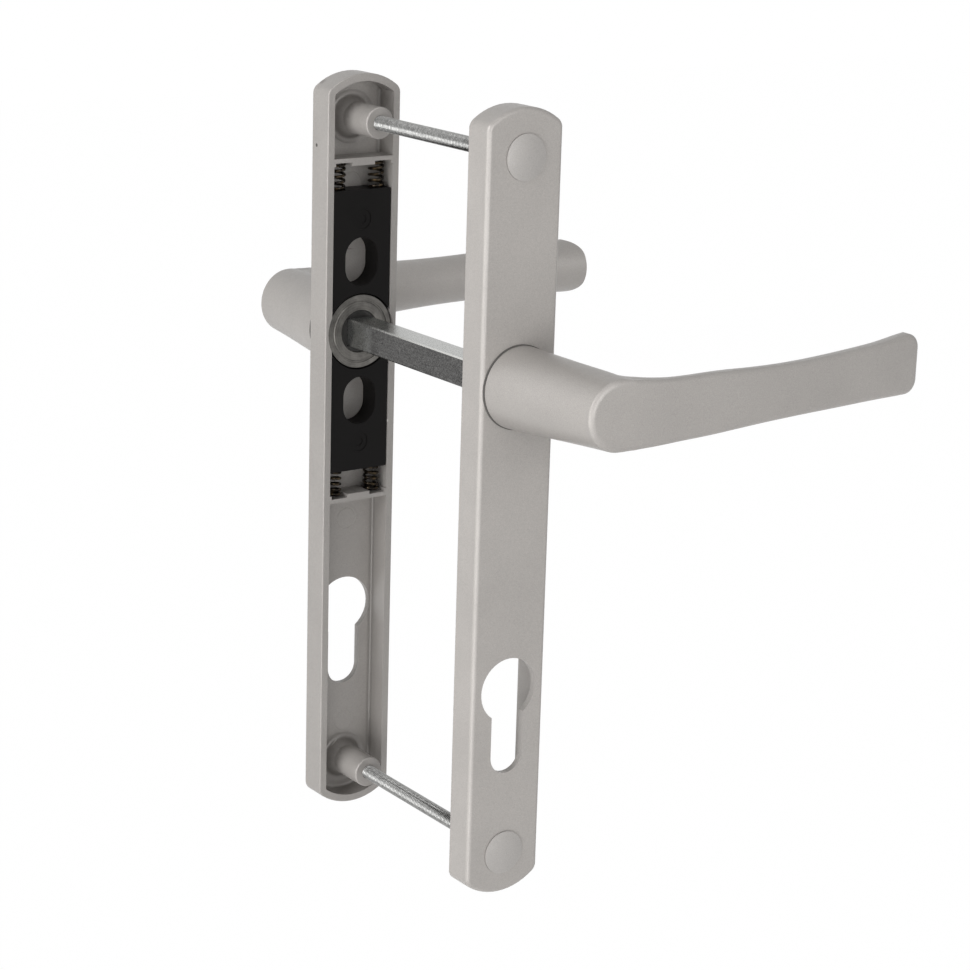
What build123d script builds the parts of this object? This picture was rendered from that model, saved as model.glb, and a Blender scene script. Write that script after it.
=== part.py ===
from build123d import *
from math import cos, radians, sin, sqrt
import os

# Narrow-stile lever handle set: two long cast backplates, one on each face of a door,
# joined by a square spindle and two long screws, each with a sprung lever.
# X runs along the levers, Y through the door from the front plate to the rear plate, Z up.
# The origin is on the spindle axis, in the middle of the door. Millimetres.

# Door
door_thickness = 68.0

# Backplates
plate_width = 24.0
plate_depth = 9.0
plate_top = 74.0
plate_bottom = 145.0
end_arc_radius = 18.0
corner_radius = 3.0
edge_round = 1.2
rim_round = 0.35
wall = 2.2
face_thickness = 1.9
cavity_floor_round = 0.8
ring_radius = 2.2
ring_width = 0.25
ring_depth = 0.15
ring_above = 42.1
ring_below = 58.4
ring_low = 121.6

# Cylinder cut-out
cylinder_drop = 85.0
cylinder_radius = 9.0
slot_width = 10.5
cutout_bottom = 109.3

# Fixing screws and what they pass through
screw_above = 61.0
screw_below = 133.0
screw_diameter = 4.2
screw_hole_clearance = 0.2
screw_head_radius = 3.9
screw_head_height = 2.4
screw_recess_width = 1.1
screw_recess_length = 4.2
screw_recess_depth = 1.4
seat_wall = 2.2
head_clearance = 0.5
front_boss_wall = 1.4
front_boss_height = 5.6
rear_boss_radius = 4.5
rear_boss_stand_off = 8.1
rear_boss_floor = 1.2
rear_boss_foot = 3.0
rear_boss_round = 0.4
screw_bite = 13.0
thread_clearance = 0.05
groove_inner_radius = 5.8
groove_outer_radius = 7.8
groove_depth = 0.8

# Screw caps
cap_radius = 6.2
cap_height = 1.1
cap_rim = 0.4
cap_skirt_length = 2.2
cap_skirt_wall = 0.8
cap_fit = 0.05

# Square spindle
spindle_size = 8.0
spindle_length = 104.0
spindle_corner = 0.4
spindle_fit = 0.06

# Lever neck and its bearing
neck_radius = 11.3
journal_radius = 8.4
journal_clearance = 0.1
bush_wall = 1.1
bush_flange = 0.5
bush_flange_lip = 0.25
bearing_gap = 0.1
socket_depth = 12.0

# Lever grip
grip_reach = 38.0
grip_bow = 3.5
grip_length = 108.8
grip_root_half = 8.9
grip_waist_half = 7.0
grip_tip_half = 8.4
grip_waist_x = 62.0
grip_root_thickness = 11.0
grip_waist_thickness = 9.6
grip_tip_thickness = 11.0
grip_crown_inset = 1.5
grip_rise = 1.3
neck_end_radius = 9.5
neck_end_x = 3.6
neck_end_z = 0.0
elbow_x = 20.0
elbow_reach = 19.0
elbow_inner_radius = 9.0
elbow_start_half = 8.4
elbow_start_reach = 24.4
elbow_end_reach = 32.0
shoulder_start_reach = 24.0
shoulder_start_x = 5.0
shoulder_start_half_length = 6.0
shoulder_start_half = 7.5
shoulder_end_x = 10.0
shoulder_end_half_length = 14.5
shoulder_end_half = 9.4
tip_corner = 4.0
grip_edge_round = 1.8
outline_margin = 0.12

# Hub cam: a flat that rests on the sliders and flanks that lift them evenly
cam_flat = 8.0
cam_height = 6.0
cam_thickness = 4.6
cam_boss_radius = 6.05
cam_boss_height = 1.2
lever_travel = 42.0
dog_width = 3.0
dog_depth = 1.8
dog_length = 2.0
dog_centre = 6.4
dog_clearance = 0.1

# Retaining collar
collar_radius = 10.65
collar_bore_clearance = 0.05
collar_thickness = 1.6
collar_recess = 0.6
collar_groove_radius = 9.0
collar_groove_width = 0.5
collar_groove_depth = 0.25
collar_chamfer = 0.2
pocket_clearance = 0.35

# Sliders
slider_end = 41.1
slider_side_clearance = 0.3
slider_face_recess = 0.3
slider_floor_clearance = 0.3
slider_cam_clearance = 0.15
slider_collar_clearance = 0.5
slider_step = 0.2
window_width = 10.9
window_height = 14.1
window_centre = 20.4
mark_radius = 3.0
mark_centre = 32.7
mark_depth = 0.2

# Springs and the ribs that they push against
rib_outer = 50.3
rib_thickness = 2.2
notch_inner = 3.8
notch_width = 5.4
notch_depth = 1.0
spring_x = 6.5
spring_diameter = 4.4
spring_wire = 0.7
spring_bore_clearance = 0.2
spring_bore_depth = 10.5
spring_level = 3.6

# Worked out from the sizes above
rim_y = door_thickness / 2
face_y = rim_y + plate_depth
floor_y = face_y - face_thickness
half_width = plate_width / 2
cavity_half = half_width - wall
arc_drop = end_arc_radius - sqrt(end_arc_radius ** 2 - half_width ** 2)
slot_end = cutout_bottom - slot_width / 2
bush_radius = journal_radius + journal_clearance + bush_wall
neck_base_y = face_y + bush_flange + bearing_gap
neck_end_y = face_y + grip_reach + grip_bow
trim_reach = grip_reach - grip_edge_round
trim_part = (face_y + trim_reach - neck_base_y) / (neck_end_y - neck_base_y)
trim_x = neck_end_x * trim_part
trim_radius = neck_radius + (neck_end_radius - neck_radius) * trim_part
cam_top_y = rim_y + collar_recess + collar_thickness
cam_base_y = cam_top_y + cam_thickness
socket_size = spindle_size + 2 * spindle_fit
pocket_radius = collar_radius + pocket_clearance
slider_half = cavity_half - slider_side_clearance
slider_top_y = rim_y + slider_face_recess
slider_base_y = floor_y - slider_floor_clearance
slider_start = cam_height + slider_cam_clearance
spring_y = rim_y + spring_level
spring_bore_radius = spring_diameter / 2 + spring_bore_clearance
notch_x = notch_inner + notch_width / 2
notch_z = rib_outer - rib_thickness + notch_depth / 2
notch_floor = rib_outer - rib_thickness + notch_depth
spring_start = slider_end - spring_bore_depth
head_radius = screw_head_radius + head_clearance
seat_y = floor_y - front_boss_height + seat_wall
screw_hole = screw_diameter / 2 + screw_hole_clearance
rear_boss_y = rim_y - rear_boss_stand_off
screw_centres = ((0, screw_above), (0, -screw_below))
ring_centres = ((0, ring_above), (0, -ring_below), (0, -ring_low))

os.makedirs("parts", exist_ok=True)


def wall_plane(y):
    """Plane square to Y, drawn with X to the right and Z up."""
    return Plane.XZ.offset(-y)


def plate_outline(inset):
    """Long plate with shallow arched ends and rounded corners, pulled in by inset all round."""
    with BuildSketch() as outline:
        with BuildLine():
            Line((-half_width, arc_drop - plate_bottom), (-half_width, plate_top - arc_drop))
            ThreePointArc(
                (-half_width, plate_top - arc_drop),
                (0, plate_top),
                (half_width, plate_top - arc_drop),
            )
            Line((half_width, plate_top - arc_drop), (half_width, arc_drop - plate_bottom))
            ThreePointArc(
                (half_width, arc_drop - plate_bottom),
                (0, -plate_bottom),
                (-half_width, arc_drop - plate_bottom),
            )
        make_face()
        fillet(outline.vertices(), corner_radius)
        if inset:
            offset(amount=-inset, mode=Mode.REPLACE)
    return outline.sketch


def plate_casting(side):
    """Open-backed plate with ribs and cut-outs. side is -1 in front of the door and 1 behind it."""
    with BuildPart() as casting:
        with BuildSketch(wall_plane(side * rim_y)):
            add(plate_outline(0))
        extrude(amount=-side * plate_depth)
        outer_face = casting.faces().sort_by(Axis.Y)[0 if side < 0 else -1]
        fillet(outer_face.edges(), edge_round)
        rim_face = casting.faces().sort_by(Axis.Y)[-1 if side < 0 else 0]
        fillet(rim_face.edges(), rim_round)
        with BuildSketch(wall_plane(side * rim_y)):
            add(plate_outline(wall))
        extrude(amount=-side * (plate_depth - face_thickness), mode=Mode.SUBTRACT)
        floor_face = casting.faces().filter_by(Plane.XZ).sort_by(Axis.Y)[1 if side < 0 else -2]
        fillet(floor_face.edges(), cavity_floor_round)
        # Shallow rings left on the floor by the mould's ejector pins
        with BuildSketch(wall_plane(side * floor_y)):
            with Locations(*ring_centres):
                Circle(ring_radius)
                Circle(ring_radius - ring_width, mode=Mode.SUBTRACT)
        extrude(amount=-side * ring_depth, mode=Mode.SUBTRACT)
        # Round pocket for the collar, let into both side walls
        with BuildSketch(wall_plane(side * rim_y)):
            Circle(pocket_radius)
        extrude(amount=-side * (plate_depth - face_thickness), mode=Mode.SUBTRACT)
        # Ribs that the springs push against
        for end in (-1, 1):
            with BuildSketch(wall_plane(side * rim_y)):
                with Locations((0, end * (rib_outer - rib_thickness / 2))):
                    Rectangle(2 * cavity_half, rib_thickness)
                with Locations((-notch_x, end * notch_z), (notch_x, end * notch_z)):
                    Rectangle(notch_width, notch_depth, mode=Mode.SUBTRACT)
            extrude(amount=-side * (plate_depth - face_thickness / 2))
        # Bearing bore and cylinder cut-out
        with BuildSketch(wall_plane(side * face_y)):
            Circle(bush_radius)
            with Locations((0, -cylinder_drop)):
                Circle(cylinder_radius)
            with Locations((0, -(cylinder_drop + slot_end) / 2)):
                Rectangle(slot_width, slot_end - cylinder_drop)
            with Locations((0, -slot_end)):
                Circle(slot_width / 2)
        extrude(amount=side * plate_depth, mode=Mode.SUBTRACT)
    return casting.part


# Front plate: counterbored bosses that hold the screw heads
with BuildPart() as front_backplate:
    add(plate_casting(-1))
    with BuildSketch(wall_plane(-floor_y - face_thickness / 2)):
        with Locations(*screw_centres):
            Circle(head_radius + front_boss_wall)
    extrude(amount=-(front_boss_height + face_thickness / 2))
    with BuildSketch(wall_plane(-face_y)):
        with Locations(*screw_centres):
            Circle(head_radius)
    extrude(amount=-(face_y - seat_y), mode=Mode.SUBTRACT)
    with BuildSketch(wall_plane(-face_y)):
        with Locations(*screw_centres):
            Circle(screw_hole)
    extrude(amount=-plate_depth, mode=Mode.SUBTRACT)

# Rear plate: bosses with a relief groove round their foot, and blind tapped holes
with BuildPart() as rear_backplate:
    add(plate_casting(1))
    with BuildSketch(wall_plane(floor_y)):
        with Locations(*screw_centres):
            Circle(groove_outer_radius)
            Circle(groove_inner_radius, mode=Mode.SUBTRACT)
    extrude(amount=-groove_depth, mode=Mode.SUBTRACT)
    with BuildSketch(wall_plane(floor_y + face_thickness / 2)):
        with Locations(*screw_centres):
            Circle(rear_boss_radius)
    extrude(amount=floor_y + face_thickness / 2 - rear_boss_y)
    boss_ends = rear_backplate.faces().filter_by(Plane.XZ).sort_by(Axis.Y)[:2]
    fillet(boss_ends.edges(), rear_boss_round)
    for centre in screw_centres:
        with BuildSketch(wall_plane(floor_y)):
            with Locations(centre):
                Circle(groove_inner_radius)
        with BuildSketch(wall_plane(floor_y - rear_boss_foot)):
            with Locations(centre):
                Circle(rear_boss_radius)
        loft()
    with BuildSketch(wall_plane(rear_boss_y)):
        with Locations(*screw_centres):
            Circle(screw_diameter / 2 + thread_clearance)
    extrude(amount=-(floor_y - rear_boss_floor - rear_boss_y), mode=Mode.SUBTRACT)


def outer_face_reach(x):
    """Distance of the grip's bowed outer face from the plate's face."""
    middle = (grip_length - neck_radius) / 2
    return grip_reach + grip_bow * (1 - ((x - middle) / (grip_length - middle)) ** 2)


def grip_value(x, root, waist, tip):
    """Size at x of something that narrows from the root to the waist and widens to the tip."""
    if x < grip_waist_x:
        part = (x - elbow_x) / (grip_waist_x - elbow_x)
        return waist + (root - waist) * (1 + cos(radians(180 * part))) / 2
    part = (x - grip_waist_x) / (grip_length - grip_waist_x)
    return waist + (tip - waist) * part ** 2


def grip_centre_z(x):
    """Height of the grip's centre line at x."""
    return neck_end_z + x * sin(radians(grip_rise))


def lever_envelope():
    """Block with the lever's outline, bowed outer face and rounded outer edge, left wide round the neck."""
    stations = [elbow_x + (grip_length - elbow_x) * step / 6 for step in range(7)]
    halves = [outline_margin + grip_value(x, grip_root_half, grip_waist_half, grip_tip_half) for x in stations]
    top = [(x, grip_centre_z(x) + half) for x, half in zip(stations, halves)]
    bottom = [(x, grip_centre_z(x) - half) for x, half in zip(stations, halves)]
    with BuildPart() as envelope:
        with BuildSketch(wall_plane(-face_y - grip_reach - 2 * grip_bow)) as outline:
            with BuildLine():
                ThreePointArc(
                    (trim_x, neck_end_z - trim_radius),
                    (trim_x - trim_radius, neck_end_z),
                    (trim_x, neck_end_z + trim_radius),
                )
                Spline((trim_x, neck_end_z + trim_radius), *top, tangents=((1, 0), (1, 0.1)))
                Line(top[-1], bottom[-1])
                Spline((trim_x, neck_end_z - trim_radius), *bottom, tangents=((1, 0), (1, 0)))
            make_face()
            fillet(outline.vertices().sort_by(Axis.X)[-2:], tip_corner)
        extrude(amount=-(grip_reach + 2 * grip_bow))
        with BuildSketch(Plane.XY):
            with BuildLine():
                Line((-2 * neck_radius, -face_y - grip_reach), (-neck_radius, -face_y - grip_reach))
                ThreePointArc(
                    (-neck_radius, -face_y - grip_reach),
                    ((grip_length - neck_radius) / 2, -face_y - grip_reach - grip_bow),
                    (grip_length, -face_y - grip_reach),
                )
                Line((grip_length, -face_y - grip_reach), (grip_length + neck_radius, -face_y - grip_reach))
                Line((grip_length + neck_radius, -face_y - grip_reach), (grip_length + neck_radius, -face_y))
                Line((grip_length + neck_radius, -face_y), (-2 * neck_radius, -face_y))
                Line((-2 * neck_radius, -face_y), (-2 * neck_radius, -face_y - grip_reach))
            make_face()
        extrude(amount=3 * neck_radius, both=True, mode=Mode.INTERSECT)
        face_edges = envelope.faces().sort_by(Axis.Y)[0].edges()
        fillet(face_edges, grip_edge_round)
        with BuildSketch(wall_plane(-face_y - trim_reach)):
            with Locations((-elbow_x / 2, 0)):
                Rectangle(3 * elbow_x, 4 * neck_radius)
        extrude(amount=-grip_reach)
    return envelope.part


# Front lever: a leaning conical neck, a rounded elbow and a flat-faced grip, cast in one
grip_stations = [elbow_x + (grip_length + 1 - elbow_x) * step / 7 for step in range(8)]
with BuildPart() as front_lever:
    # Elbow and grip, as rounded sections from inside the neck to past the tip
    for step in range(4):
        turn = radians(90 * step / 4)
        part = sin(turn)
        reach_out = elbow_start_reach + (elbow_end_reach - elbow_start_reach) * part
        half_height = elbow_start_half + (grip_root_half - elbow_start_half) * part
        middle = (elbow_inner_radius + reach_out) / 2
        centre = (elbow_x - middle * cos(turn), -face_y - elbow_reach - middle * part, grip_centre_z(elbow_x * part))
        outward = (-cos(turn), -part, 0)
        with BuildSketch(Plane(origin=centre, x_dir=outward, z_dir=(part, -cos(turn), 0))):
            Ellipse((reach_out - elbow_inner_radius) / 2, half_height)
    for x in grip_stations:
        thickness = grip_value(x, grip_root_thickness, grip_waist_thickness, grip_tip_thickness)
        half_height = grip_value(x, grip_root_half, grip_waist_half, grip_tip_half)
        centre = (x, -face_y - outer_face_reach(x) + grip_crown_inset, grip_centre_z(x))
        with BuildSketch(Plane(origin=centre, x_dir=(0, -1, 0), z_dir=(1, 0, 0))):
            Ellipse(thickness - grip_crown_inset, half_height)
    loft()
    # Neck
    with BuildSketch(wall_plane(-neck_base_y)):
        Circle(neck_radius)
    with BuildSketch(wall_plane(-neck_end_y)):
        with Locations((neck_end_x, neck_end_z)):
            Circle(neck_end_radius)
    loft()
    # Shoulders that carry the neck's outline into the grip's
    with BuildSketch(wall_plane(-face_y - shoulder_start_reach)):
        with Locations((shoulder_start_x, grip_centre_z(shoulder_start_x))):
            Ellipse(shoulder_start_half_length, shoulder_start_half)
    with BuildSketch(wall_plane(-neck_end_y)):
        with Locations((shoulder_end_x, grip_centre_z(shoulder_end_x))):
            Ellipse(shoulder_end_half_length, shoulder_end_half)
    loft()
    # Trimmed to one smooth outline with a rounded edge
    add(lever_envelope(), mode=Mode.INTERSECT)
    # Journal, drive dogs and the socket for the spindle
    with BuildSketch(wall_plane(-neck_base_y)):
        Circle(journal_radius)
    extrude(amount=cam_base_y - neck_base_y)
    with BuildSketch(wall_plane(-cam_base_y)):
        with Locations((-dog_centre, 0), (dog_centre, 0)):
            Rectangle(dog_length, dog_width)
    extrude(amount=-dog_depth)
    with BuildSketch(wall_plane(-cam_base_y)):
        Rectangle(socket_size, socket_size)
    extrude(amount=socket_depth, mode=Mode.SUBTRACT)

# Neck bush: a thin sleeve through the plate with a flange under the neck
with BuildPart() as front_neck_bush:
    with BuildSketch(wall_plane(-floor_y)):
        Circle(bush_radius)
    extrude(amount=face_thickness)
    with BuildSketch(wall_plane(-face_y)):
        Circle(neck_radius + bush_flange_lip)
    extrude(amount=bush_flange)
    with BuildSketch(wall_plane(-floor_y)):
        Circle(journal_radius + journal_clearance)
    extrude(amount=face_thickness + bush_flange, mode=Mode.SUBTRACT)

# Hub cam: each flank is the involute that lifts a slider by cam_flat / 2 for each radian turned
flank = []
for step in range(8):
    turn = radians(lever_travel * step / 7)
    lift = cam_height + cam_flat / 2 * turn
    across = cam_flat / 2 * cos(turn) + lift * sin(turn)
    flank.append((across, lift * cos(turn) - cam_flat / 2 * sin(turn)))
with BuildPart() as front_hub_cam:
    with BuildSketch(wall_plane(-cam_top_y)):
        with BuildLine():
            Line((-flank[0][0], flank[0][1]), flank[0])
            Spline(*flank)
            Line(flank[-1], (flank[-1][0], -flank[-1][1]))
            Spline(*[(x, -z) for x, z in flank])
            Line((flank[0][0], -flank[0][1]), (-flank[0][0], -flank[0][1]))
            Spline(*[(-x, -z) for x, z in flank])
            Line((-flank[-1][0], -flank[-1][1]), (-flank[-1][0], flank[-1][1]))
            Spline(*[(-x, z) for x, z in flank])
        make_face()
    extrude(amount=cam_thickness)
    with BuildSketch(wall_plane(-cam_top_y)):
        Circle(cam_boss_radius)
    extrude(amount=-cam_boss_height)
    with BuildSketch(wall_plane(-cam_base_y)):
        with Locations((-dog_centre, 0), (dog_centre, 0)):
            Rectangle(dog_length + 2 * dog_clearance, dog_width + 2 * dog_clearance)
    extrude(amount=-dog_depth - dog_clearance, mode=Mode.SUBTRACT)
    with BuildSketch(wall_plane(-cam_base_y)):
        Rectangle(socket_size, socket_size)
    extrude(amount=-cam_thickness - cam_boss_height, mode=Mode.SUBTRACT)

# Retaining collar: flat ring on the cam's boss, with a shallow groove round its face
with BuildPart() as front_collar:
    with BuildSketch(wall_plane(-cam_top_y)):
        Circle(collar_radius)
        Circle(cam_boss_radius + collar_bore_clearance, mode=Mode.SUBTRACT)
    extrude(amount=-collar_thickness)
    with BuildSketch(wall_plane(-cam_top_y + collar_thickness)):
        Circle(collar_groove_radius + collar_groove_width / 2)
        Circle(collar_groove_radius - collar_groove_width / 2, mode=Mode.SUBTRACT)
    extrude(amount=collar_groove_depth, mode=Mode.SUBTRACT)
    collar_face = front_collar.faces().sort_by(Axis.Y)[-1]
    chamfer(collar_face.edges(), collar_chamfer)

# Square spindle, with its long edges broken
with BuildPart() as spindle:
    with BuildSketch(wall_plane(-spindle_length / 2)):
        square = Rectangle(spindle_size, spindle_size)
        chamfer(square.vertices(), spindle_corner)
    extrude(amount=-spindle_length)

# Slider: a block with a window, hollowed round the collar and bored for two springs
with BuildPart() as front_upper_slider:
    with BuildSketch(wall_plane(-slider_top_y)):
        with Locations((0, (slider_start + slider_end) / 2)):
            Rectangle(2 * slider_half, slider_end - slider_start)
        with Locations((0, window_centre)):
            SlotOverall(window_height, window_width, rotation=90, mode=Mode.SUBTRACT)
    extrude(amount=slider_base_y - slider_top_y)
    with BuildSketch(wall_plane(-slider_top_y)):
        Circle(collar_radius + slider_collar_clearance)
    extrude(amount=cam_top_y + slider_step - slider_top_y, mode=Mode.SUBTRACT)
    with BuildSketch(wall_plane(-slider_top_y)):
        with Locations((0, mark_centre)):
            Circle(mark_radius)
    extrude(amount=mark_depth, mode=Mode.SUBTRACT)
    with BuildSketch(wall_plane(-slider_top_y)):
        with Locations((0, mark_centre)):
            Circle(mark_radius / 2)
    extrude(amount=2 * mark_depth, mode=Mode.SUBTRACT)
    with BuildSketch(Plane.XY.offset(slider_end)):
        with Locations((-spring_x, -spring_y), (spring_x, -spring_y)):
            Circle(spring_bore_radius)
    extrude(amount=-spring_bore_depth, mode=Mode.SUBTRACT)


def spring_body(x, side, end):
    """Compression spring as a plain tube, from the bottom of its bore to the notch in the rib."""
    with BuildPart() as tube:
        with BuildSketch(Plane.XY.offset(end * spring_start)):
            with Locations((x * spring_x, side * spring_y)):
                Circle(spring_diameter / 2)
                Circle(spring_diameter / 2 - spring_wire, mode=Mode.SUBTRACT)
        extrude(amount=end * (notch_floor - spring_start))
    return tube.part


# Fixing screws: a low head on the front seat and a shank into the rear boss
def screw_body(z):
    """Long screw with a cross recess in its head, centred at height z."""
    with BuildPart() as screw:
        with BuildSketch(wall_plane(-seat_y)):
            with Locations((0, z)):
                Circle(screw_head_radius)
        extrude(amount=screw_head_height)
        with BuildSketch(wall_plane(-seat_y)):
            with Locations((0, z)):
                Circle(screw_diameter / 2)
        extrude(amount=-(seat_y + rear_boss_y + screw_bite))
        with BuildSketch(wall_plane(-seat_y - screw_head_height)):
            with Locations((0, z)):
                Rectangle(screw_recess_length, screw_recess_width)
                Rectangle(screw_recess_width, screw_recess_length)
        extrude(amount=-screw_recess_depth, mode=Mode.SUBTRACT)
    return screw.part


# Screw caps: a low dome with a short skirt that clips into the boss
def cap_body(z):
    """Round cap with its rim on the plate's face, centred at height z."""
    skirt_radius = head_radius - cap_fit
    with BuildPart() as cap:
        with BuildSketch(wall_plane(-face_y)):
            with Locations((0, z)):
                Circle(cap_radius)
        extrude(amount=cap_rim)
        with BuildSketch(Plane.YZ):
            with BuildLine():
                ThreePointArc(
                    (-face_y - cap_rim, z + cap_radius),
                    (-face_y - cap_height, z),
                    (-face_y - cap_rim, z - cap_radius),
                )
                Line((-face_y - cap_rim, z - cap_radius), (-face_y - cap_rim, z + cap_radius))
            make_face()
            with Locations((-face_y, z - cap_radius)):
                Rectangle(4 * cap_height, 2 * cap_radius, mode=Mode.SUBTRACT)
        revolve(axis=Axis((0, 0, z), (0, 1, 0)), revolution_arc=360)
        with BuildSketch(wall_plane(-face_y)):
            with Locations((0, z)):
                Circle(skirt_radius)
                Circle(skirt_radius - cap_skirt_wall, mode=Mode.SUBTRACT)
        extrude(amount=-cap_skirt_length)
    return cap.part


with BuildPart() as top_fixing_screw:
    add(screw_body(screw_above))

with BuildPart() as bottom_fixing_screw:
    add(screw_body(-screw_below))

with BuildPart() as top_screw_cap:
    add(cap_body(screw_above))

with BuildPart() as bottom_screw_cap:
    add(cap_body(-screw_below))

# The rear set mirrors the front one, and the lower sliders mirror the upper ones
with BuildPart() as rear_lever:
    add(front_lever.part.mirror(Plane.XZ))

with BuildPart() as rear_neck_bush:
    add(front_neck_bush.part.mirror(Plane.XZ))

with BuildPart() as rear_hub_cam:
    add(front_hub_cam.part.mirror(Plane.XZ))

with BuildPart() as rear_collar:
    add(front_collar.part.mirror(Plane.XZ))

with BuildPart() as front_lower_slider:
    add(front_upper_slider.part.mirror(Plane.XY))

with BuildPart() as rear_upper_slider:
    add(front_upper_slider.part.mirror(Plane.XZ))

with BuildPart() as rear_lower_slider:
    add(front_lower_slider.part.mirror(Plane.XZ))

with BuildPart() as front_upper_left_spring:
    add(spring_body(-1, -1, 1))

with BuildPart() as front_upper_right_spring:
    add(spring_body(1, -1, 1))

with BuildPart() as front_lower_left_spring:
    add(spring_body(-1, -1, -1))

with BuildPart() as front_lower_right_spring:
    add(spring_body(1, -1, -1))

with BuildPart() as rear_upper_left_spring:
    add(spring_body(-1, 1, 1))

with BuildPart() as rear_upper_right_spring:
    add(spring_body(1, 1, 1))

with BuildPart() as rear_lower_left_spring:
    add(spring_body(-1, 1, -1))

with BuildPart() as rear_lower_right_spring:
    add(spring_body(1, 1, -1))

front_backplate.part.label = "front_backplate"
rear_backplate.part.label = "rear_backplate"
front_lever.part.label = "front_lever"
rear_lever.part.label = "rear_lever"
front_neck_bush.part.label = "front_neck_bush"
rear_neck_bush.part.label = "rear_neck_bush"
front_hub_cam.part.label = "front_hub_cam"
rear_hub_cam.part.label = "rear_hub_cam"
front_collar.part.label = "front_collar"
rear_collar.part.label = "rear_collar"
spindle.part.label = "spindle"
front_upper_slider.part.label = "front_upper_slider"
front_lower_slider.part.label = "front_lower_slider"
rear_upper_slider.part.label = "rear_upper_slider"
rear_lower_slider.part.label = "rear_lower_slider"
front_upper_left_spring.part.label = "front_upper_left_spring"
front_upper_right_spring.part.label = "front_upper_right_spring"
front_lower_left_spring.part.label = "front_lower_left_spring"
front_lower_right_spring.part.label = "front_lower_right_spring"
rear_upper_left_spring.part.label = "rear_upper_left_spring"
rear_upper_right_spring.part.label = "rear_upper_right_spring"
rear_lower_left_spring.part.label = "rear_lower_left_spring"
rear_lower_right_spring.part.label = "rear_lower_right_spring"
top_fixing_screw.part.label = "top_fixing_screw"
bottom_fixing_screw.part.label = "bottom_fixing_screw"
top_screw_cap.part.label = "top_screw_cap"
bottom_screw_cap.part.label = "bottom_screw_cap"

export_step(front_backplate.part, "parts/front_backplate.step")
export_step(rear_backplate.part, "parts/rear_backplate.step")
export_step(front_lever.part, "parts/front_lever.step")
export_step(rear_lever.part, "parts/rear_lever.step")
export_step(front_neck_bush.part, "parts/front_neck_bush.step")
export_step(rear_neck_bush.part, "parts/rear_neck_bush.step")
export_step(front_hub_cam.part, "parts/front_hub_cam.step")
export_step(rear_hub_cam.part, "parts/rear_hub_cam.step")
export_step(front_collar.part, "parts/front_collar.step")
export_step(rear_collar.part, "parts/rear_collar.step")
export_step(spindle.part, "parts/spindle.step")
export_step(front_upper_slider.part, "parts/front_upper_slider.step")
export_step(front_lower_slider.part, "parts/front_lower_slider.step")
export_step(rear_upper_slider.part, "parts/rear_upper_slider.step")
export_step(rear_lower_slider.part, "parts/rear_lower_slider.step")
export_step(front_upper_left_spring.part, "parts/front_upper_left_spring.step")
export_step(front_upper_right_spring.part, "parts/front_upper_right_spring.step")
export_step(front_lower_left_spring.part, "parts/front_lower_left_spring.step")
export_step(front_lower_right_spring.part, "parts/front_lower_right_spring.step")
export_step(rear_upper_left_spring.part, "parts/rear_upper_left_spring.step")
export_step(rear_upper_right_spring.part, "parts/rear_upper_right_spring.step")
export_step(rear_lower_left_spring.part, "parts/rear_lower_left_spring.step")
export_step(rear_lower_right_spring.part, "parts/rear_lower_right_spring.step")
export_step(top_fixing_screw.part, "parts/top_fixing_screw.step")
export_step(bottom_fixing_screw.part, "parts/bottom_fixing_screw.step")
export_step(top_screw_cap.part, "parts/top_screw_cap.step")
export_step(bottom_screw_cap.part, "parts/bottom_screw_cap.step")
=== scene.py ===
import bmesh
import bpy
from math import cos, pi, radians, sin
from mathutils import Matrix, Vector


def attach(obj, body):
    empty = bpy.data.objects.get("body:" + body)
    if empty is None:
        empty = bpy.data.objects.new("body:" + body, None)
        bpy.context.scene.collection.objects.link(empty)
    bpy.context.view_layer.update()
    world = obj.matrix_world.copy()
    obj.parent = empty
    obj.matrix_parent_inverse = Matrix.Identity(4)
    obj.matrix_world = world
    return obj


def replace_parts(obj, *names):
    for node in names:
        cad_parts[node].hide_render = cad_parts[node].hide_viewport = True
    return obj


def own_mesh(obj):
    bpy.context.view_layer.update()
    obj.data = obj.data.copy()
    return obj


# Lever handle set on two hollow backplates, one on each side of a narrow door.
# Everything is in metres, in the model's own frame: X along the grips, Y from the front
# plate to the rear one, Z up. The spindle's axis is the Y axis.
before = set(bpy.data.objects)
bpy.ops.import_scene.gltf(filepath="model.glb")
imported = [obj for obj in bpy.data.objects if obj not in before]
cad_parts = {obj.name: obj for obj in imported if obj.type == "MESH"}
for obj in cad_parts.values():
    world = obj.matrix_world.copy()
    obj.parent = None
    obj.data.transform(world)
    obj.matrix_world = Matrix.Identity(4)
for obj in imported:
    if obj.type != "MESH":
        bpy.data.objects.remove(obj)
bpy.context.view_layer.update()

# Sizes taken over from the construction
PLATE_FACE = 0.043
PLATE_FLOOR = 0.0411

SCREW_LEVELS = {"top": 0.061, "bottom": -0.133}
SCREW_SEAT = -0.0377
SCREW_END = 0.0389
SCREW_RADIUS = 0.0021
SPRING_INNER = 0.0306
SPRING_OUTER = 0.0491
SPRING_LEVEL = 0.0376
SPRING_SIDE = 0.0065

# Sizes of what is only drawn here
THREAD_PITCH = 0.0007
THREAD_DEPTH = 0.00038
SPRING_RADIUS = 0.0020
SPRING_WIRE = 0.00042
SMOOTH_BELOW = radians(38)


def grey(level):
    return (level, level, level)


def scaled(colour, share):
    return tuple(value * share for value in colour)


# Materials
NOISE_SPAN = (0.3, 0.7)


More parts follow.
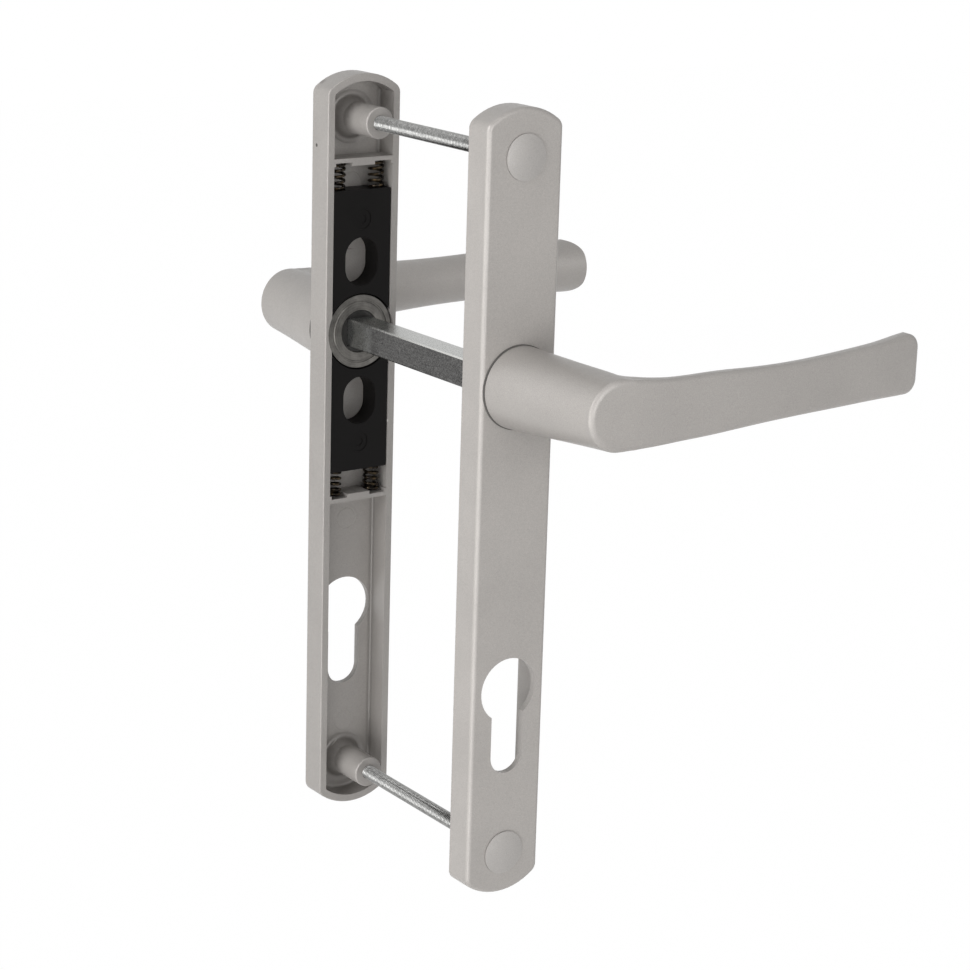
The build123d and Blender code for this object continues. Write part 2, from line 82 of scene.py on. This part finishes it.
class Surface:
    """One procedural material: a Principled shader with helpers for its inputs."""

    def __init__(self, name, metallic, specular):
        self.material = bpy.data.materials.new(name)
        self.material.use_nodes = True
        self.nodes = self.material.node_tree.nodes
        self.links = self.material.node_tree.links
        self.nodes.clear()
        self.shader = self.nodes.new("ShaderNodeBsdfPrincipled")
        output = self.nodes.new("ShaderNodeOutputMaterial")
        self.links.new(self.shader.outputs["BSDF"], output.inputs["Surface"])
        coordinates = self.nodes.new("ShaderNodeTexCoord")
        self.place = coordinates.outputs["Object"]
        self.normal = coordinates.outputs["Normal"]
        self.shader.inputs["Metallic"].default_value = metallic
        self.shader.inputs["Specular IOR Level"].default_value = specular

    def fill(self, socket, value):
        """Sets a socket to a number or a colour, or links an output to it."""
        if isinstance(value, (int, float)):
            socket.default_value = value
        elif isinstance(value, tuple):
            socket.default_value = (*value, 1)
        else:
            self.links.new(value, socket)

    def stretched(self, scale):
        """Object coordinates scaled by a triple, for drawn marks."""
        mapping = self.nodes.new("ShaderNodeMapping")
        mapping.inputs["Scale"].default_value = scale
        self.links.new(self.place, mapping.inputs["Vector"])
        return mapping.outputs["Vector"]

    def noise(self, scale, detail, roughness=0.55, place=None):
        node = self.nodes.new("ShaderNodeTexNoise")
        node.inputs["Scale"].default_value = scale
        node.inputs["Detail"].default_value = detail
        node.inputs["Roughness"].default_value = roughness
        self.links.new(place or self.place, node.inputs["Vector"])
        return node.outputs["Fac"]

    def ramp(self, value, stops):
        node = self.nodes.new("ShaderNodeValToRGB")
        while len(node.color_ramp.elements) < len(stops):
            node.color_ramp.elements.new(0.5)
        for element, (position, colour) in zip(node.color_ramp.elements, stops):
            element.position = position
            element.color = (*colour, 1)
        self.links.new(value, node.inputs["Fac"])
        return node.outputs["Color"]

    def remap(self, value, span, result):
        """Takes the span of a value, low and high, to the two ends of a result."""
        node = self.nodes.new("ShaderNodeMapRange")
        for key, number in zip(("From Min", "From Max", "To Min", "To Max"), (*span, *result)):
            node.inputs[key].default_value = number
        self.links.new(value, node.inputs["Value"])
        return node.outputs["Result"]

    def maths(self, operation, *values):
        node = self.nodes.new("ShaderNodeMath")
        node.operation = operation
        for socket, value in zip(node.inputs, values):
            self.fill(socket, value)
        return node.outputs["Value"]

    def product(self, first, *others):
        for value in others:
            first = self.maths("MULTIPLY", first, value)
        return first

    def mix(self, factor, first, second, blend="MIX"):
        node = self.nodes.new("ShaderNodeMix")
        node.data_type = "RGBA"
        node.blend_type = blend
        for index, value in ((0, factor), (6, first), (7, second)):
            self.fill(node.inputs[index], value)
        return node.outputs[2]

    def part(self, vector, letter):
        node = self.nodes.new("ShaderNodeSeparateXYZ")
        self.links.new(vector, node.inputs["Vector"])
        return node.outputs[letter]

    def axis(self, letter):
        """Place along an axis."""
        return self.part(self.place, letter)

    def facing(self, letter):
        """How far the surface faces along an axis of the piece, from -1 to 1."""
        return self.part(self.normal, letter)

    def length_of(self, vector):
        node = self.nodes.new("ShaderNodeVectorMath")
        node.operation = "LENGTH"
        self.links.new(vector, node.inputs[0])
        return node.outputs["Value"]

    def off_axis(self, level):
        """Distance from a line along Y at a height."""
        flat = self.nodes.new("ShaderNodeVectorMath")
        flat.operation = "MULTIPLY_ADD"
        flat.inputs[1].default_value = (1, 0, 1)
        flat.inputs[2].default_value = (0, 0, -level)
        self.links.new(self.place, flat.inputs[0])
        return self.length_of(flat.outputs[0])

    def mark(self, tone, centre, turn, length, width, colour):
        """Lays a small drawn-out mark over a colour, turned about Y by so many degrees."""
        mapping = self.nodes.new("ShaderNodeMapping")
        mapping.vector_type = "TEXTURE"
        mapping.inputs["Location"].default_value = centre
        mapping.inputs["Rotation"].default_value = (0, radians(turn), 0)
        mapping.inputs["Scale"].default_value = (length / 2, width * 2, width / 2)
        self.links.new(self.place, mapping.inputs["Vector"])
        reach = self.length_of(mapping.outputs["Vector"])
        return self.mix(self.remap(reach, (0.6, 1), (1, 0)), tone, colour)

    def colour(self, value):
        self.links.new(value, self.shader.inputs["Base Color"])

    def rough(self, noise, low, high):
        """Roughness that follows a noise between two values."""
        self.links.new(self.remap(noise, NOISE_SPAN, (low, high)), self.shader.inputs["Roughness"])

    def bump(self, height, distance, strength):
        """Adds a bump to those that the surface has."""
        node = self.nodes.new("ShaderNodeBump")
        node.inputs["Strength"].default_value = strength
        node.inputs["Distance"].default_value = distance
        self.links.new(height, node.inputs["Height"])
        current = self.shader.inputs["Normal"]
        if current.is_linked:
            self.links.new(current.links[0].from_socket, node.inputs["Normal"])
        self.links.new(node.outputs["Normal"], current)


# Painted shade inside the rear plate, in its floor corners and round its boss feet. Each pair says
# where it starts
# and ends: depths along Y, distances from the plate's middle line, and distances from a screw's axis.
CORNER_SHADE = (0.11, 0.10, 0.092)
CORNER_SHADE_SHARE = 0.5
CORNER_DEPTH = (0.0399, 0.0407)
CORNER_SIDE = (0.0083, 0.0092)
BOSS_FOOT_DEPTH = (0.0370, 0.0405)
BOSS_FOOT_REACH = (0.0050, 0.0092)
WITHIN_FACE = (0.0420, 0.0423)
WITHIN_SIDE = (0.0100, 0.0104)

# Painted shade in the gap under a cap's rim: its colour, its share, and where it starts and ends along
# Y from the plate's face
GAP_SHADE_TONE = grey(0.03)
GAP_SHADE_SHARE = 0.85
GAP_SHADE_SPAN = (-0.0002, -0.00005)


def painted_corner_shade(surface, tone):
    """Paints shade into the corners inside the rear plate and round the feet of its bosses."""
    depth = surface.axis("Y")
    inside = surface.remap(depth, WITHIN_FACE, (1, 0))
    floor_corner = surface.remap(depth, CORNER_DEPTH, (0, CORNER_SHADE_SHARE))
    across = surface.maths("ABSOLUTE", surface.axis("X"))
    side = surface.remap(across, CORNER_SIDE, (0, 1))
    wall = surface.remap(across, WITHIN_SIDE, (1, 0))
    tone = surface.mix(surface.product(floor_corner, inside, side, wall), tone, CORNER_SHADE)
    foot = surface.remap(depth, BOSS_FOOT_DEPTH, (0, CORNER_SHADE_SHARE))
    for level in SCREW_LEVELS.values():
        near = surface.remap(surface.off_axis(level), BOSS_FOOT_REACH, (1, 0))
        tone = surface.mix(surface.product(foot, inside, near), tone, CORNER_SHADE)
    return tone


def silver_paint(name, base, metallic, marks=(), shade_corners=False, shaded_gap_at=None):
    """Satin silver finish: fine flakes, soft orange peel, drawn marks and slightly uneven tone."""
    surface = Surface(name, metallic=metallic, specular=0.5)
    cloud = surface.noise(38, detail=4)
    grain = surface.noise(4200, detail=3, roughness=0.75)
    drawn = surface.noise(500, detail=3, roughness=0.6, place=surface.stretched((2.4, 0.12, 2.4)))
    tone = surface.ramp(cloud, [(0.3, scaled(base, 0.95)), (0.7, scaled(base, 1.05))])
    speck = surface.ramp(grain, [(0.3, grey(0.84)), (0.5, grey(1.0)), (0.72, grey(1.16))])
    tone = surface.mix(1.0, tone, speck, "MULTIPLY")
    for mark in marks:
        tone = surface.mark(tone, *mark)
    # Painted shade in the rear plate's floor corners and round its boss feet
    if shade_corners:
        tone = painted_corner_shade(surface, tone)
    # Painted shade in the gap under a cap's rim, a dark band at its foot
    if shaded_gap_at:
        span = tuple(shaded_gap_at + reach for reach in GAP_SHADE_SPAN)
        tone = surface.mix(surface.remap(surface.axis("Y"), span, (0, GAP_SHADE_SHARE)), tone, GAP_SHADE_TONE)
    surface.colour(tone)
    surface.rough(surface.noise(900, detail=3), 0.34, 0.46)
    surface.bump(surface.noise(1300, detail=2), distance=0.00005, strength=0.4)
    surface.bump(drawn, distance=0.00003, strength=0.35)
    surface.bump(grain, distance=0.00002, strength=0.6)
    return surface.material


def black_plastic(name, base, dust_tone):
    """Moulded plastic with a faint sheen, flow marks and dust."""
    surface = Surface(name, metallic=0.0, specular=0.12)
    cloud = surface.noise(70, detail=4)
    dust = surface.remap(surface.noise(1900, detail=4, roughness=0.7), (0.62, 0.8), (0, 0.5))
    tone = surface.ramp(cloud, [(0.3, scaled(base, 0.75)), (0.7, scaled(base, 1.3))])
    surface.colour(surface.mix(dust, tone, dust_tone))
    surface.rough(cloud, 0.4, 0.62)
    surface.bump(surface.noise(2200, detail=3), distance=0.00003, strength=0.5)
    return surface.material


def cast_zinc(name, base):
    """Bare die-cast zinc, dulled, with turning marks about the spindle's axis."""
    surface = Surface(name, metallic=0.9, specular=0.4)
    rings = surface.nodes.new("ShaderNodeTexWave")
    rings.wave_type = "RINGS"
    rings.rings_direction = "Y"
    rings.inputs["Scale"].default_value = 420
    rings.inputs["Distortion"].default_value = 3
    rings.inputs["Detail"].default_value = 3
    surface.links.new(surface.place, rings.inputs["Vector"])
    cloud = surface.noise(300, detail=5, roughness=0.65)
    tone = surface.ramp(cloud, [(0.32, scaled(base, 0.55)), (0.7, scaled(base, 1.15))])
    marks = surface.remap(rings.outputs["Fac"], (0.6, 1), (0, 0.16))
    surface.colour(surface.mix(marks, tone, scaled(base, 1.7)))
    surface.rough(surface.noise(700, detail=3), 0.34, 0.56)
    surface.bump(rings.outputs["Fac"], distance=0.000006, strength=0.4)
    surface.bump(surface.noise(1800, detail=3), distance=0.00002, strength=0.5)
    return surface.material


def plated_bar(name):
    """Zinc-plated drawn bar: dull speckled flanks, painted light on the top face, painted highlights
    along its upper edges and a rubbed end.
    """
    surface = Surface(name, metallic=0.95, specular=0.5)
    speck = surface.noise(2600, detail=4, roughness=0.75)
    drawn = surface.noise(420, detail=3, roughness=0.6, place=surface.stretched((6, 0.2, 6)))
    dull = [(0.34, (0.03, 0.029, 0.029)), (0.52, (0.085, 0.083, 0.081)), (0.72, (0.27, 0.27, 0.265))]
    streaks = [(0.38, grey(0.05)), (0.68, (0.24, 0.24, 0.235))]
    bright = [(0.3, (0.31, 0.315, 0.305)), (0.7, (0.50, 0.505, 0.49))]
    flank = surface.mix(0.15, surface.ramp(speck, dull), surface.ramp(drawn, streaks))
    # Painted light on the top face: faces turned upward get the lighter speckle
    upward = surface.facing("Z")
    top_light = surface.remap(upward, (0.7, 0.95), (0, 1))
    tone = surface.mix(top_light, flank, surface.ramp(speck, bright))
    # Painted highlight along the upper edges, between the top and the flanks
    above_flank = surface.remap(upward, (0.25, 0.6), (0, 1))
    below_top = surface.remap(upward, (0.75, 0.9), (1, 0))
    tone = surface.mix(surface.product(above_flank, below_top), tone, (0.75, 0.75, 0.73))
    rubbed_end = surface.remap(surface.axis("Y"), (0.0215, 0.0245), (0, 0.75))
    surface.colour(surface.mix(rubbed_end, tone, (0.29, 0.295, 0.29)))
    surface.rough(speck, 0.2, 0.4)
    surface.bump(speck, distance=0.00003, strength=0.6)
    surface.bump(drawn, distance=0.00002, strength=0.4)
    return surface.material


def bright_zinc(name, level):
    """Zinc-plated screw, with its zinc tone on the thread's crests and painted shade in its roots."""
    surface = Surface(name, metallic=1.0, specular=0.5)
    patch = surface.noise(1400, detail=4)
    crest = surface.ramp(patch, [(0.3, (0.22, 0.22, 0.216)), (0.65, (0.44, 0.44, 0.43))])
    # Painted shade in the thread's roots, fading out towards the crests
    height = surface.remap(surface.off_axis(level), (SCREW_RADIUS - THREAD_DEPTH, SCREW_RADIUS), (0, 1))
    surface.colour(surface.mix(height, grey(0.07), crest))
    surface.rough(surface.noise(1500, detail=3), 0.14, 0.3)
    surface.bump(surface.noise(3000, detail=2), distance=0.00001, strength=0.4)
    return surface.material


def oiled_wire(name):
    """Dark oiled spring wire with warm glints."""
    surface = Surface(name, metallic=0.9, specular=0.5)
    cloud = surface.noise(700, detail=3)
    glints = [(0.4, (0.016, 0.014, 0.012)), (0.6, (0.05, 0.036, 0.02)), (0.75, (0.16, 0.11, 0.055))]
    surface.colour(surface.ramp(cloud, glints))
    surface.rough(cloud, 0.18, 0.4)
    surface.bump(surface.noise(4000, detail=2), distance=0.00001, strength=0.4)
    return surface.material


SILVER = (0.392, 0.371, 0.352)
SCRAPES_AND_HIGHLIGHT = (0.62, 0.60, 0.57)
DIRTY = (0.05, 0.045, 0.04)
# Centre, turn, length, width and colour of each mark on the rear plate
REAR_MARKS = [
    ((-0.0120, 0.0400, 0.0537), 90, 0.0013, 0.0003, DIRTY),
    ((0.0098, 0.0341, -0.0276), 90, 0.0010, 0.0004, SCRAPES_AND_HIGHLIGHT),
    # Painted highlight along the edge of the lower boss's dish
    ((-0.0027, PLATE_FLOOR, -0.1280), -35, 0.0036, 0.0003, SCRAPES_AND_HIGHLIGHT),
    ((-0.0036, PLATE_FLOOR, -0.1423), 12, 0.0040, 0.0003, SCRAPES_AND_HIGHLIGHT),
    ((-0.0010, PLATE_FLOOR, 0.0230), 4, 0.0060, 0.0002, DIRTY),
]
PAINT = silver_paint("silver_paint", SILVER, 0.15)
# The rear plate's paint is the same silver made darker by 0.87, as painted shade for its hollow inside
REAR_PAINT = silver_paint("silver_paint_rear", scaled(SILVER, 0.87), 0.15, REAR_MARKS, shade_corners=True)
LEVER_PAINT = silver_paint("silver_paint_levers", scaled(SILVER, 0.93), 0.2)
CAP = silver_paint("cap_silver", (0.400, 0.382, 0.366), 0.2, shaded_gap_at=-PLATE_FACE)
BUSH = black_plastic("bush_grey", (0.11, 0.106, 0.10), (0.09, 0.088, 0.085))
SLIDER = black_plastic("slider_black", (0.0047, 0.0042, 0.004), (0.03, 0.028, 0.026))
CAM = cast_zinc("cam_zinc", (0.05, 0.049, 0.047))
COLLAR = cast_zinc("collar_zinc", (0.165, 0.158, 0.147))
BAR = plated_bar("plated_bar")
SCREWS = {label: bright_zinc(f"{label}_screw_zinc", level) for label, level in SCREW_LEVELS.items()}
WIRE = oiled_wire("oiled_wire")

FINISHES = {
    "front_backplate": PAINT,
    "rear_backplate": REAR_PAINT,
    "top_screw_cap": CAP,
    "bottom_screw_cap": CAP,
    "front_neck_bush": BUSH,
    "rear_neck_bush": BUSH,
    "front_hub_cam": CAM,
    "rear_hub_cam": CAM,
    "front_collar": COLLAR,
    "rear_collar": COLLAR,
    "spindle": BAR,
    "front_upper_slider": SLIDER,
    "front_lower_slider": SLIDER,
    "rear_upper_slider": SLIDER,
    "rear_lower_slider": SLIDER,
}


def dress(mesh, material):
    mesh.materials.clear()
    mesh.materials.append(material)


for node, material in FINISHES.items():
    dress(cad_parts[node].data, material)


# Pieces
def placed(name, mesh, body):
    """An object for a mesh, which rides on a body."""
    obj = bpy.data.objects.new(name, mesh)
    bpy.context.scene.collection.objects.link(obj)
    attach(obj, body)
    return obj


def new_piece(name, points, faces, material, body):
    """A piece made from points and faces, smooth but for its sharp edges."""
    mesh = bpy.data.meshes.new(name)
    mesh.from_pydata(points, [], faces)
    mesh.materials.append(material)
    mesh.validate()
    turned = bmesh.new()
    turned.from_mesh(mesh)
    bmesh.ops.recalc_face_normals(turned, faces=turned.faces)
    turned.to_mesh(mesh)
    turned.free()
    mesh.shade_smooth()
    mesh.set_sharp_from_angle(angle=SMOOTH_BELOW)
    return placed(name, mesh, body)


# Coil springs, squashed between slider and rib
COIL_TURNS = 11.3
COIL_AROUND = 26
WIRE_AROUND = 8
CLOSED_RISE = 2.2 * SPRING_WIRE


def coil_spring(name, node, x, y, end):
    """Compression spring with closed ends, between its bore in the slider and the rib."""
    length = SPRING_OUTER - SPRING_INNER - 2 * SPRING_WIRE
    pitch = (length - 2 * CLOSED_RISE) / (COIL_TURNS - 2)
    steps = int(COIL_TURNS * COIL_AROUND)
    points = []
    for step in range(steps + 1):
        turn = step * COIL_TURNS / steps
        if turn < 1:
            rise = CLOSED_RISE * turn
        elif turn > COIL_TURNS - 1:
            rise = length - CLOSED_RISE * (COIL_TURNS - turn)
        else:
            rise = CLOSED_RISE + pitch * (turn - 1)
        angle = 2 * pi * turn
        for corner in range(WIRE_AROUND):
            around_wire = 2 * pi * corner / WIRE_AROUND
            reach = SPRING_RADIUS + SPRING_WIRE * cos(around_wire)
            height = SPRING_INNER + SPRING_WIRE + rise + SPRING_WIRE * sin(around_wire)
            points.append((x + reach * cos(angle), y + reach * sin(angle), end * height))
    faces = []
    for step in range(steps):
        for corner in range(WIRE_AROUND):
            following = (corner + 1) % WIRE_AROUND
            low = step * WIRE_AROUND
            high = low + WIRE_AROUND
            faces.append((low + corner, low + following, high + following, high + corner))
    faces.append(tuple(range(WIRE_AROUND)))
    faces.append(tuple(steps * WIRE_AROUND + corner for corner in range(WIRE_AROUND)))
    spring = new_piece(name, points, faces, WIRE, "plates")
    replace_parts(spring, node)
    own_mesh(spring)


for side, y in (("front", -SPRING_LEVEL), ("rear", SPRING_LEVEL)):
    for half, end in (("upper", 1), ("lower", -1)):
        for hand, x in (("left", -SPRING_SIDE), ("right", SPRING_SIDE)):
            label = f"{side}_{half}_{hand}"
            coil_spring(f"{label}_coil", f"{label}_spring", x, y, end)


# Levers: copies of the solids, bent to the outline in the photograph. Distances from the
# spindle, then half heights at the grip's root, waist and tip.
GRIP_START = 0.020
WAIST = 0.062
REACH = 0.1088
EXTRA_REACH = 0.0004
SOLID_HALVES = (0.0089, 0.0070, 0.0084)
HALVES = (0.0086, 0.0074, 0.0086)
SOLID_TILT = radians(1.3)
# Height of the middle line at the spindle, and how much higher it ends
LINE_START = 0.00015
LINE_RISE = 0.00235
# Spans over which a change comes in or goes out, along the grip and along the neck
GRIP_COMES_IN = (0.004, 0.020)
DROOP_COMES_IN = (0.003, 0.014)
DROOP_GOES_OUT = (0.020, 0.042)
ELBOW_ALONG_NECK = (0.0445, 0.0780)
ELBOW_GOES_OUT = (0.008, 0.030)
# How far the elbow moves along X and along Z
ELBOW_SHIFT = (0.0008, 0.00015)
# Droop of the front lever's elbow, which the rear one doesn't have
FRONT_DROOP = 0.00042
# Fairing of the outline where the neck runs into the grip, in millimetres: distance from
# the spindle, and how far the outline goes outward there
FAIR_ALONG_NECK = (0.058, 0.066)
FAIR_HALF = 0.0090
FAIR_TOP = (
    (6, 0), (6.5, 0.03), (7, 0.12), (7.5, 0.18), (8, 0.08),
    (8.5, 0.01), (9, -0.04), (10, -0.09), (11, -0.07), (12, 0),
)
FAIR_BOTTOM = (
    (6.5, 0), (7, 0.07), (7.5, 0.18), (8, 0.35), (8.5, 0.28), (9, 0.19), (10, 0.08), (11, 0.02),
    (12, 0.01), (13, 0.04), (14, 0.13), (15, 0.25), (16, 0.21), (18, 0.12), (20, 0.06), (24, 0),
)


def eased(value, low, high):
    """Smooth step from 0 at low to 1 at high."""
    share = max(0.0, min(1.0, (value - low) / (high - low)))
    return share * share * (3 - 2 * share)


def waisted(x, root, waist, tip):
    """Half height of the grip at x, narrowing to a waist and widening to the tip."""
    if x < WAIST:
        return waist + (root - waist) * (1 + cos(pi * (x - GRIP_START) / (WAIST - GRIP_START))) / 2
    return waist + (tip - waist) * ((x - WAIST) / (REACH - WAIST)) ** 2


def between(table, place):
    """Straight line between the points of a short table, and 0 outside it."""
    for (low, first), (high, second) in zip(table, table[1:]):
        if low <= place < high:
            return first + (second - first) * (place - low) / (high - low)
    return 0.0


def shaped_point(x, y, z, droop):
    """Where a point of a lever goes."""
    along = max(x, GRIP_START)
    fuller = waisted(along, *HALVES) / waisted(along, *SOLID_HALVES)
    line = LINE_START + LINE_RISE * (x / (REACH + EXTRA_REACH)) ** 2
    wanted = line + (z - x * sin(SOLID_TILT)) * fuller
    z += eased(x, *GRIP_COMES_IN) * (wanted - z)
    z -= droop * eased(x, *DROOP_COMES_IN) * (1 - eased(x, *DROOP_GOES_OUT))
    elbow = eased(abs(y), *ELBOW_ALONG_NECK) * (1 - eased(x, *ELBOW_GOES_OUT))
    x += ELBOW_SHIFT[0] * elbow + EXTRA_REACH * max(0.0, x) / REACH
    z += ELBOW_SHIFT[1] * elbow
    fair = between(FAIR_TOP if z > 0 else FAIR_BOTTOM, x * 1000) / 1000
    z += fair * z / FAIR_HALF * eased(abs(y), *FAIR_ALONG_NECK)
    return x, y, z


def shaped_lever(name, node, droop):
    """Copy of a lever with a fuller waist, a bowed middle line and its elbow a little further out."""
    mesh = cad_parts[node].data.copy()
    mesh.name = name
    dress(mesh, LEVER_PAINT)
    for vertex in mesh.vertices:
        vertex.co = shaped_point(*vertex.co, droop)
    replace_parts(placed(name, mesh, "levers"), node)


shaped_lever("front_lever_casting", "front_lever", FRONT_DROOP)
shaped_lever("rear_lever_casting", "rear_lever", 0.0)


# Screws: the profile of one thread turn, as shares of the pitch and radii
THREAD_ROOT = SCREW_RADIUS - THREAD_DEPTH
THREAD_PROFILE = ((0.0, THREAD_ROOT), (0.40, SCREW_RADIUS), (0.60, SCREW_RADIUS))
THREAD_AROUND = 24
RUN_OUT_TURNS = 1.5
HEAD_MARGIN = 1e-5


def threaded_screw(name, node, level, material):
    """Long screw with a rolled thread over its whole shank, and the head of the solid."""
    around = THREAD_AROUND
    rows = len(THREAD_PROFILE)
    steps = int(((SCREW_END - SCREW_SEAT) / THREAD_PITCH - 1) * around)
    points = []
    for step in range(steps + around + 1):
        angle = 2 * pi * step / around
        left = (steps - step) / around
        for share, radius in THREAD_PROFILE:
            taper = max(0.0, min(1.0, (left + 1 - share) / RUN_OUT_TURNS))
            reach = THREAD_ROOT + (radius - THREAD_ROOT) * taper
            along = min(SCREW_SEAT + THREAD_PITCH * (step / around + share), SCREW_END)
            points.append((reach * cos(angle), along, level + reach * sin(angle)))
    faces = []
    for step in range(steps):
        here = step * rows
        there = here + rows
        turn_on = here + around * rows
        for row in range(rows - 1):
            faces.append((here + row, there + row, there + row + 1, here + row + 1))
        faces.append((here + rows - 1, there + rows - 1, turn_on + rows, turn_on))
    # Flat tip, a fan from its middle
    centre = len(points)
    points.append((0, SCREW_END, level))
    for step in range(around):
        angle = 2 * pi * step / around
        points.append((THREAD_ROOT * cos(angle), SCREW_END, level + THREAD_ROOT * sin(angle)))
        faces.append((centre, centre + 1 + step, centre + 1 + (step + 1) % around))
    # Head, taken over from the solid
    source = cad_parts[node].data
    offset = len(points)
    points += [tuple(vertex.co) for vertex in source.vertices]
    for polygon in source.polygons:
        furthest = max(source.vertices[index].co.y for index in polygon.vertices)
        if furthest < SCREW_SEAT + HEAD_MARGIN:
            faces.append(tuple(offset + index for index in polygon.vertices))
    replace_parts(new_piece(name, points, faces, material, "plates"), node)


for label, level in SCREW_LEVELS.items():
    threaded_screw(f"{label}_threaded_screw", f"{label}_fixing_screw", level, SCREWS[label])


# Turned details on the floor of the rear plate: radius and depth of each profile point
DISH = (
    (0.00572, 0.04092),
    (0.00592, 0.04130),
    (0.00625, 0.04154),
    (0.00668, 0.04160),
    (0.00712, 0.04150),
    (0.00755, 0.04128),
    (0.00785, 0.04112),
    (0.00815, 0.04107),
)
MOULD_MARK = (
    (0.0010, 0.04102),
    (0.00286, 0.04102),
    (0.00294, 0.041085),
    (0.00314, 0.041085),
    (0.00322, 0.04102),
    (0.0034, 0.04102),
    (0.0042, 0.04111),
)
MOULD_MARK_LEVELS = {"upper": 0.0421, "middle": -0.0577, "lower": -0.1213}
MOULD_MARK_SIDE = 0.0004
TURNED_AROUND = 72


def turned_detail(name, x, level, profile, closed):
    """Ring turned about an axis along Y; closed fills its middle."""
    rows = len(profile)
    points = []
    faces = []
    for step in range(TURNED_AROUND):
        angle = 2 * pi * step / TURNED_AROUND
        for reach, depth in profile:
            points.append((x + reach * cos(angle), depth, level + reach * sin(angle)))
        here = step * rows
        there = (step + 1) % TURNED_AROUND * rows
        for row in range(rows - 1):
            faces.append((here + row, there + row, there + row + 1, here + row + 1))
    if closed:
        faces.append(tuple(step * rows for step in range(TURNED_AROUND)))
    new_piece(name, points, faces, REAR_PAINT, "plates")


for label, level in SCREW_LEVELS.items():
    turned_detail(f"{label}_boss_dish", 0, level, DISH, False)
for label, level in MOULD_MARK_LEVELS.items():
    turned_detail(f"{label}_mould_mark", MOULD_MARK_SIDE, level, MOULD_MARK, True)


# Floor, light and camera
FLOOR_LEVEL = -0.8
FLOOR_HALF = 6.0
FLOOR_WHITE = (0.95, 0.95, 0.95, 1)
FLOOR_PLAIN_SHARE = 0.998
WORLD_LIGHT = 0.12
WORLD_SEEN = 1.0
LAMP_SIZE = 0.8
LAMP_TARGET = Vector((0.0, 0.0, -0.03))
LAMPS = {
    "key_high": ((-1.2, -0.1, 0.7), 11.5),
    "key_flat": ((-1.4, -0.1, 0.0), 5.5),
    "fill_mid": ((-0.2, -1.4, 0.1), 7),
    "fill_left": ((-1.0, -0.8, -0.4), 6),
    "fill_high": ((0.1, -1.3, 0.8), 3.5),
}


def seen_directly(tree):
    """1 for what the camera and reflections see, and 0 for what lights the object."""
    path = tree.nodes.new("ShaderNodeLightPath")
    seen = path.outputs["Is Camera Ray"]
    for ray in ("Is Glossy Ray", "Is Transmission Ray"):
        either = tree.nodes.new("ShaderNodeMath")
        either.operation = "MAXIMUM"
        tree.links.new(seen, either.inputs[0])
        tree.links.new(path.outputs[ray], either.inputs[1])
        seen = either.outputs[0]
    return seen


def matt(name, colour):
    """Matt stage paint that shows plain white to the camera and in reflections."""
    material = bpy.data.materials.new(name)
    material.use_nodes = True
    tree = material.node_tree
    tree.nodes.clear()
    share = tree.nodes.new("ShaderNodeMath")
    share.operation = "MULTIPLY"
    share.inputs[1].default_value = FLOOR_PLAIN_SHARE
    tree.links.new(seen_directly(tree), share.inputs[0])
    paint = tree.nodes.new("ShaderNodeBsdfDiffuse")
    paint.inputs["Color"].default_value = colour
    glow = tree.nodes.new("ShaderNodeEmission")
    glow.inputs["Strength"].default_value = 1.0
    mix = tree.nodes.new("ShaderNodeMixShader")
    tree.links.new(share.outputs[0], mix.inputs[0])
    tree.links.new(paint.outputs[0], mix.inputs[1])
    tree.links.new(glow.outputs[0], mix.inputs[2])
    output = tree.nodes.new("ShaderNodeOutputMaterial")
    tree.links.new(mix.outputs[0], output.inputs["Surface"])
    return material


floor_mesh = bpy.data.meshes.new("studio_floor")
corners = [(-1, -1), (1, -1), (1, 1), (-1, 1)]
floor_points = [(FLOOR_HALF * x, FLOOR_HALF * y, FLOOR_LEVEL) for x, y in corners]
floor_mesh.from_pydata(floor_points, [], [(0, 1, 2, 3)])
floor_mesh.materials.append(matt("studio_floor", FLOOR_WHITE))
floor = bpy.data.objects.new("studio_floor", floor_mesh)
bpy.context.scene.collection.objects.link(floor)

world = bpy.data.worlds.new("studio")
bpy.context.scene.world = world
world.use_nodes = True
tree = world.node_tree
tree.nodes.clear()
strength = tree.nodes.new("ShaderNodeMapRange")
strength.inputs["To Min"].default_value = WORLD_LIGHT
strength.inputs["To Max"].default_value = WORLD_SEEN
tree.links.new(seen_directly(tree), strength.inputs["Value"])
sky = tree.nodes.new("ShaderNodeBackground")
sky.inputs["Color"].default_value = (1, 1, 1, 1)
tree.links.new(strength.outputs[0], sky.inputs["Strength"])
tree.links.new(sky.outputs[0], tree.nodes.new("ShaderNodeOutputWorld").inputs["Surface"])


def softbox(name, place, energy):
    """Square area lamp that looks at the object."""
    lamp = bpy.data.lights.new(name, "AREA")
    lamp.shape = "SQUARE"
    lamp.size = LAMP_SIZE
    lamp.energy = energy
    obj = bpy.data.objects.new(name, lamp)
    obj.location = place
    obj.rotation_euler = (LAMP_TARGET - Vector(place)).to_track_quat("-Z", "Y").to_euler()
    bpy.context.scene.collection.objects.link(obj)


for name, (place, energy) in LAMPS.items():
    softbox(name, place, energy)

camera_data = bpy.data.cameras.new("camera")
camera_data.sensor_width = 36.0
camera_data.lens = 96.52
camera_data.clip_start = 0.01
camera_data.clip_end = 50
camera = bpy.data.objects.new("camera", camera_data)
camera.location = (-0.39765, -0.58150, 0.16066)
camera.rotation_euler = (radians(74.3208), radians(-1.6610), radians(-35.2901))
bpy.context.scene.collection.objects.link(camera)
bpy.context.scene.camera = camera

bpy.context.scene.view_settings.view_transform = "Standard"
